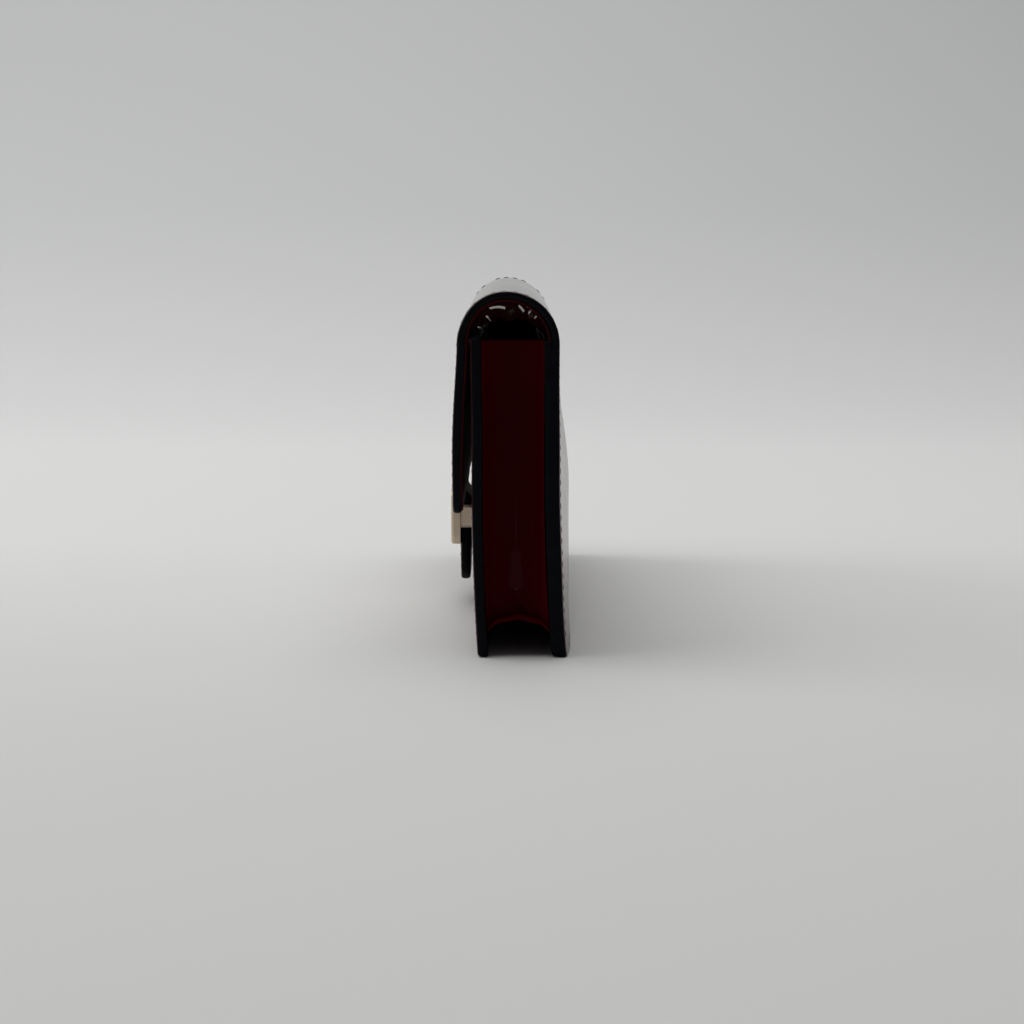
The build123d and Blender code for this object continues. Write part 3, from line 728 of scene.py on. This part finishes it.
LINING_ENDS = (-HALF + 0.3, HALF - 0.3)
LINING_STEP = 0.8
LINING_FOOT = ARCH_START - 1.2
LINING_HEM = HEM_S - 0.6
LOOSE_MATS = [LOOSE_LINING, LOOSE_LINING, LINING_EDGE, CREASE_LINING]
lining_mid = lining_place(SAG)
for number, node in enumerate(("lining_root", "lining_bend_1", "lining_bend_2")):
    low = arch_s(STRIP_ANGLE * number) if number else LINING_FOOT
    high = arch_s(STRIP_ANGLE * (number + 1))
    lining = shell(f"arch_lining_{number + 1}", LINING_ENDS, (low, high), lining_mid, LINING / 2, LOOSE_MATS,
                   (True, True, False, False), step=LINING_STEP, fine=(9.0, 0.15), accent=folds)
    finish_piece(lining, STRIPS[number][1], (node,), across=(number, LINING_REACH))
flap_lining = shell("flap_lining_leather", LINING_ENDS, (arch_s(180), LINING_HEM), lining_mid, LINING / 2,
                    [LINING_MAT, LINING_MAT, LINING_EDGE], (True, True, False, True), corner=3.0,
                    step=LINING_STEP)
finish_piece(flap_lining, "flap", ("flap_lining",))

# ---------------------------------------------------------------- front wall

FRONT_HALF = (FRONT_INNER_Y - FRONT_Y) / 2
FRONT_MID_Y = (FRONT_INNER_Y + FRONT_Y) / 2


def open_top(z):
    """The front wall's top stands slightly away from the back wall."""
    return 0.33 * smooth((z - 60) / 22)


def front_place(u, v, t):
    """Front wall, v is height, t outwards is towards the flap."""
    y = FRONT_MID_Y - t - ripple(u, v, 7, 0.06, 24.0) + lean(u, v) - open_top(v)
    return np.stack([u, y, v], -1)


front = shell("front_wall_leather", ENDS, (0.0, FRONT_TOP), front_place, FRONT_HALF, COVER_MATS,
              (True, True, True, True), corner=2.0, stitches=(0, 1, 2, 3))
finish_piece(front, "body", ("front_cover", "front_lining"))
front_runs = [(-HALF + MARGIN, 4, -HALF + MARGIN, FRONT_TOP - 4),
              (HALF - MARGIN, 4, HALF - MARGIN, FRONT_TOP - 4),
              (-HALF + 4, MARGIN, HALF - 4, MARGIN),
              (-HALF + 4, FRONT_TOP - MARGIN, HALF - 4, FRONT_TOP - MARGIN)]
finish_piece(stitched("front_wall_stitching", front_place, front_runs, FRONT_HALF), "body")

# ---------------------------------------------------------------- top of the back wall's inner layer

INNER_HALF = (BACK_Y - COVER - BACK_INNER_Y) / 2
INNER_MID_Y = (BACK_Y - COVER + BACK_INNER_Y) / 2


def back_inner_place(u, v, t):
    """The folded top of the back wall's lining and padding. t outwards is towards the inside."""
    y = INNER_MID_Y - t + back_bow(u, v) + lean(u, v, 1.0)
    return np.stack([u, y, v], -1)


back_inner = shell("back_wall_top", ENDS, (WALL_TOP - 14, WALL_TOP), back_inner_place, INNER_HALF + 0.03,
                   [LINING_MAT, LINING_MAT, PAINT_MAT], (True, True, True, True), corner=1.0)
finish_piece(back_inner, "body")

# ---------------------------------------------------------------- gussets

GUSSET = 1.0
GUSSET_FRONT = FRONT_INNER_Y
GUSSET_BACK = BACK_INNER_Y
GUSSET_MID = (GUSSET_FRONT + GUSSET_BACK) / 2
GUSSET_RADIUS = (GUSSET_BACK - GUSSET_FRONT) / 2
GUSSET_RIM = edge("side_gusset_right", HIGH, 0)
GUSSET_DEPTH = 8.0
FOLD_LENGTH = (0.0, math.pi * GUSSET_RADIUS)
GUSSET_MAT = gusset_leather(GUSSET_MID, GUSSET_RADIUS)
GUSSET_MATS = [GUSSET_MAT, GUSSET_MAT, GUSSET_MAT]
TUNNEL_FOOT = edge("bottom_gusset", LOW, 2) - 0.9
TUNNEL_TOP = edge("bottom_gusset", HIGH, 2) - 0.8


def tunnel_height(across):
    """Height of the bottom gusset over its foot, across -1..1."""
    return TUNNEL_FOOT + (TUNNEL_TOP - 0.5 - TUNNEL_FOOT) * np.sqrt(np.clip(1 - across ** 2, 0, 1))


def side_gusset_place(side):
    """End gusset: u is the angle round its fold, v its height from the bottom edge as a share of 100."""
    def place(u, v, t):
        turn = u / GUSSET_RADIUS - math.pi / 2
        across = np.sin(turn)
        share = v / 100
        low = tunnel_height(across * 0.97) - 1.2
        z = low + (WALL_TOP - low) * share
        # shallower at its foot and its top, and pinched in creases where it meets the bottom gusset
        fold = GUSSET_DEPTH * (0.72 + 0.28 * smooth(share * 3)) * (1 - 0.25 * smooth((share - 0.75) * 4))
        pinch = np.exp(-((z - low) / 6.5) ** 2)
        crease = (0.45 * np.sin(across * 7.5 + 0.6) + 0.3 * np.sin(across * 15 + z * 0.5)) * pinch
        crease = crease + ripple(u, z, 21 + side, 0.12, 14.0)
        depth = fold * np.cos(turn) ** 0.8 + crease * np.cos(turn)
        radial = GUSSET_RADIUS + 0.1 - t * 0.2
        x = side * (GUSSET_RIM - 0.3 - depth + t)
        y = GUSSET_MID + radial * across + lean(x, z, (across + 1) / 2) - open_top(z) * (1 - across) / 2
        return np.stack([x, y, z], -1)
    return place


for side, name in ((-1, "left"), (1, "right")):
    place = side_gusset_place(side)
    gusset = shell(f"side_gusset_leather_{name}", FOLD_LENGTH, (0.0, 100.0), place, GUSSET / 2, GUSSET_MATS,
                   (False, False, True, True), step=0.5)
    finish_piece(gusset, "body", (f"side_gusset_{name}",))


def bottom_gusset_place(u, v, t):
    """Bottom gusset: u along the length, v the angle over its arch."""
    turn = v / GUSSET_RADIUS - math.pi / 2
    across = np.sin(turn)
    rise = np.cos(turn)
    bow = back_bow(u, 5.0) * (across + 1) / 2
    end = smooth((np.abs(u) - 78) / 14)
    crease = (0.4 * np.sin(across * 9 + 1.1) + 0.3 * np.sin(u * 0.9)) * end
    z = TUNNEL_FOOT + (TUNNEL_TOP - GUSSET / 2 - TUNNEL_FOOT + t + crease * 0.6) * rise
    z = z + ripple(u, v, 31, 0.15, 12.0) * rise
    y = GUSSET_MID + (GUSSET_RADIUS + 0.1) * across + bow + lean(u, z, (across + 1) / 2)
    return np.stack([u, y, z], -1)


bottom = shell("bottom_gusset_leather", (-GUSSET_RIM, GUSSET_RIM), FOLD_LENGTH, bottom_gusset_place,
               GUSSET / 2, GUSSET_MATS, (True, True, False, False), step=0.8)
finish_piece(bottom, "body", ("bottom_gusset",))

# ---------------------------------------------------------------- tongue

TONGUE_SIDE = 13.5
TONGUE_MARGIN = 1.9
TONGUE_TIP = 7.5
TONGUE_TOP = HEM_Z + 3.0
TONGUE_OUT = FLAP_Y + 0.3
TONGUE_IN = -11.9
TONGUE_HALF = (TONGUE_IN - TONGUE_OUT) / 2


def tongue_place(u, v, t):
    """Tongue below the flap: v is height, t outwards is away from the wall. It thins towards its tip."""
    towards_tip = smooth((30 - v) / 22)
    thin = 1 - 0.14 * towards_tip
    # behind the flap's hem its inner side thins away, so that light shows past it
    root = np.where(t < 0, 1 - smooth((v - 33.5) / 3.5), 1.0)
    y = (TONGUE_OUT + TONGUE_IN) / 2 - t * thin * root - ripple(u, v, 41, 0.03, 15.0)
    y = y - 0.3 * towards_tip
    return np.stack([u, y, v], -1)


tongue = shell("tongue_leather", (-TONGUE_SIDE, TONGUE_SIDE), (TONGUE_TIP, TONGUE_TOP), tongue_place,
               TONGUE_HALF, COVER_MATS, (True, True, True, False), corner=8.0, stitches=(0, 1, 2),
               pitch=TONGUE_STITCH, margin=TONGUE_MARGIN, step=0.45, scallop=0.09)
finish_piece(tongue, "flap")
thread_x = TONGUE_SIDE - TONGUE_MARGIN
thread_z = TONGUE_TIP + TONGUE_MARGIN
tongue_runs = [(-thread_x, 15, -thread_x, TONGUE_TOP - 4), (thread_x, 15, thread_x, TONGUE_TOP - 4),
               (-6, thread_z, 6, thread_z)]
tongue_thread = stitched("tongue_stitching", tongue_place, tongue_runs, TONGUE_HALF, TONGUE_STITCH)
finish_piece(tongue_thread, "flap")

# ---------------------------------------------------------------- inside: card slots and coin pocket


def panel_from_node(node, name, facing, seed):
    """A thin sewn leather panel where a flat CAD sheet is, with its outer side facing along Y."""
    x0, x1 = edge(node, LOW, 0), edge(node, HIGH, 0)
    y0, y1 = edge(node, LOW, 1), edge(node, HIGH, 1)
    z0, z1 = edge(node, LOW, 2), edge(node, HIGH, 2)
    middle, half = (y0 + y1) / 2, (y1 - y0) / 2

    def place(u, v, t):
        y = middle + facing * t + ripple(u, v, seed, 0.01, 20.0)
        return np.stack([u, y, v], -1)

    piece = shell(name, (x0, x1), (z0, z1), place, half, [LINING_MAT, LINING_MAT, PAINT_MAT],
                  (True, True, True, True), corner=1.5, step=1.6)
    finish_piece(piece, "body", (node,))
    runs = [(x0 + 3, z1 - 1.8, x1 - 3, z1 - 1.8)]
    finish_piece(stitched(f"{name}_stitching", place, runs, half, lift=(-0.08, -0.08)), "body")


for row in range(4):
    panel_from_node(f"card_slot_{row + 1}", f"card_slot_leather_{row + 1}", -1, seed=50 + row)
panel_from_node("coin_pocket_front", "coin_pocket_wall_front", -1, seed=60)
panel_from_node("coin_pocket_back", "coin_pocket_wall_back", 1, seed=61)

CAD_FINISHES = (
    (GOLD, ("clasp_plate", "clasp_sleeve", "clasp_screws")),
    (NICKEL, ("front_magnets",)),
    (BOARD, ("front_stiffener", "flap_stiffener")),
    (TAPE, ("zipper_tape_front", "zipper_tape_back")),
    (ZIP_GOLD, ("zipper_teeth_front", "zipper_teeth_back", "zipper_stops", "zipper_slider", "zipper_pull",
                "zipper_pull_pin")),
    (LINING_MAT, ("coin_pocket_base", "coin_pocket_end_left", "coin_pocket_end_right")),
)
for material, nodes in CAD_FINISHES:
    for node in nodes:
        for material_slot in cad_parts[node].material_slots:
            material_slot.material = material

# ---------------------------------------------------------------- stage, light and camera


# The floor and the wall it sweeps up into, in metres
FLOOR_END = 12.0
FLOOR_SIDE = 9.0
SWEEP_START = -0.55
SWEEP_RADIUS = 1.6
SWEEP_STEPS = 48
WALL_HEIGHT = 4.5


def backdrop():
    """A pale seamless floor that sweeps up into a wall behind the wallet, its colour graded as painted light:
    lightest just behind the wallet, darker far off and towards the camera.
    """
    profile = [(FLOOR_END, 0.0), (3.0, 0.0), (1.0, 0.0), (SWEEP_START, 0.0)]
    for i in range(1, SWEEP_STEPS + 1):
        turn = math.pi / 2 * i / SWEEP_STEPS
        profile.append((SWEEP_START - SWEEP_RADIUS * math.sin(turn), SWEEP_RADIUS * (1 - math.cos(turn))))
    profile.append((SWEEP_START - SWEEP_RADIUS, WALL_HEIGHT))
    points = np.array([(x / MM, y / MM, z / MM) for x, z in profile for y in (-FLOOR_SIDE, FLOOR_SIDE)])
    faces = [(2 * i, 2 * i + 2, 2 * i + 3, 2 * i + 1) for i in range(len(profile) - 1)]
    material, tree, shader = new_material("backdrop", (0.6, 0.6, 0.58), 0.8)
    shader.inputs["Specular IOR Level"].default_value = 0.2
    along = remap(tree, coordinate(tree, "X"), 0.0, 1.0, -3.0, 1.0)
    # painted light: a painted pool of light on the floor just behind the wallet, and painted shade darkening
    # towards the far wall and towards the camera
    tone = ramp(tree, along, [(0.0, (0.44, 0.445, 0.44)), (0.45, (0.57, 0.575, 0.57)),
                              (0.63, (0.74, 0.74, 0.73)), (0.72, (0.76, 0.76, 0.745)),
                              (0.79, (0.685, 0.685, 0.67)), (0.85, (0.665, 0.665, 0.65)),
                              (1.0, (0.58, 0.58, 0.565))])
    tree.links.new(tone, shader.inputs["Base Color"])
    build("backdrop", points, faces, [material])


def area_light(name, place, target, size, power):
    """A soft rectangular light aimed at a point."""
    light = bpy.data.lights.new(name, "AREA")
    light.shape = "RECTANGLE"
    light.size, light.size_y = size
    light.energy = power
    lamp = bpy.data.objects.new(name, light)
    lamp.location = place
    lamp.rotation_euler = (Vector(target) - Vector(place)).to_track_quat("-Z", "Y").to_euler()
    bpy.context.scene.collection.objects.link(lamp)


backdrop()
world = bpy.data.worlds.new("studio")
world.use_nodes = True
world.node_tree.nodes["Background"].inputs["Color"].default_value = (0.93, 0.95, 1.0, 1)
world.node_tree.nodes["Background"].inputs["Strength"].default_value = 0.1
bpy.context.scene.world = world
TARGET = (0, 0, 0.05)
area_light("key", (0.1, -1.7, 1.45), TARGET, (1.8, 1.8), 10)
area_light("overhead", (-0.45, -0.2, 1.9), (-0.35, -0.1, 0), (2.4, 2.4), 34)
area_light("left_fill", (-0.5, -1.7, 0.8), (-0.35, -0.3, 0), (0.9, 0.9), 4.5)

CAMERA_PLACE = (0.657, 0.0006, 0.1142)
CAMERA_PITCH = 7.49
camera_data = bpy.data.cameras.new("camera")
camera_data.lens = 73.5
camera_data.sensor_width = 36
camera_data.clip_end = 20
camera = bpy.data.objects.new("camera", camera_data)
camera.location = CAMERA_PLACE
camera.rotation_euler = (math.radians(90 - CAMERA_PITCH), 0, math.radians(90))
bpy.context.scene.collection.objects.link(camera)
bpy.context.scene.camera = camera
bpy.context.scene.view_settings.view_transform = "Standard"
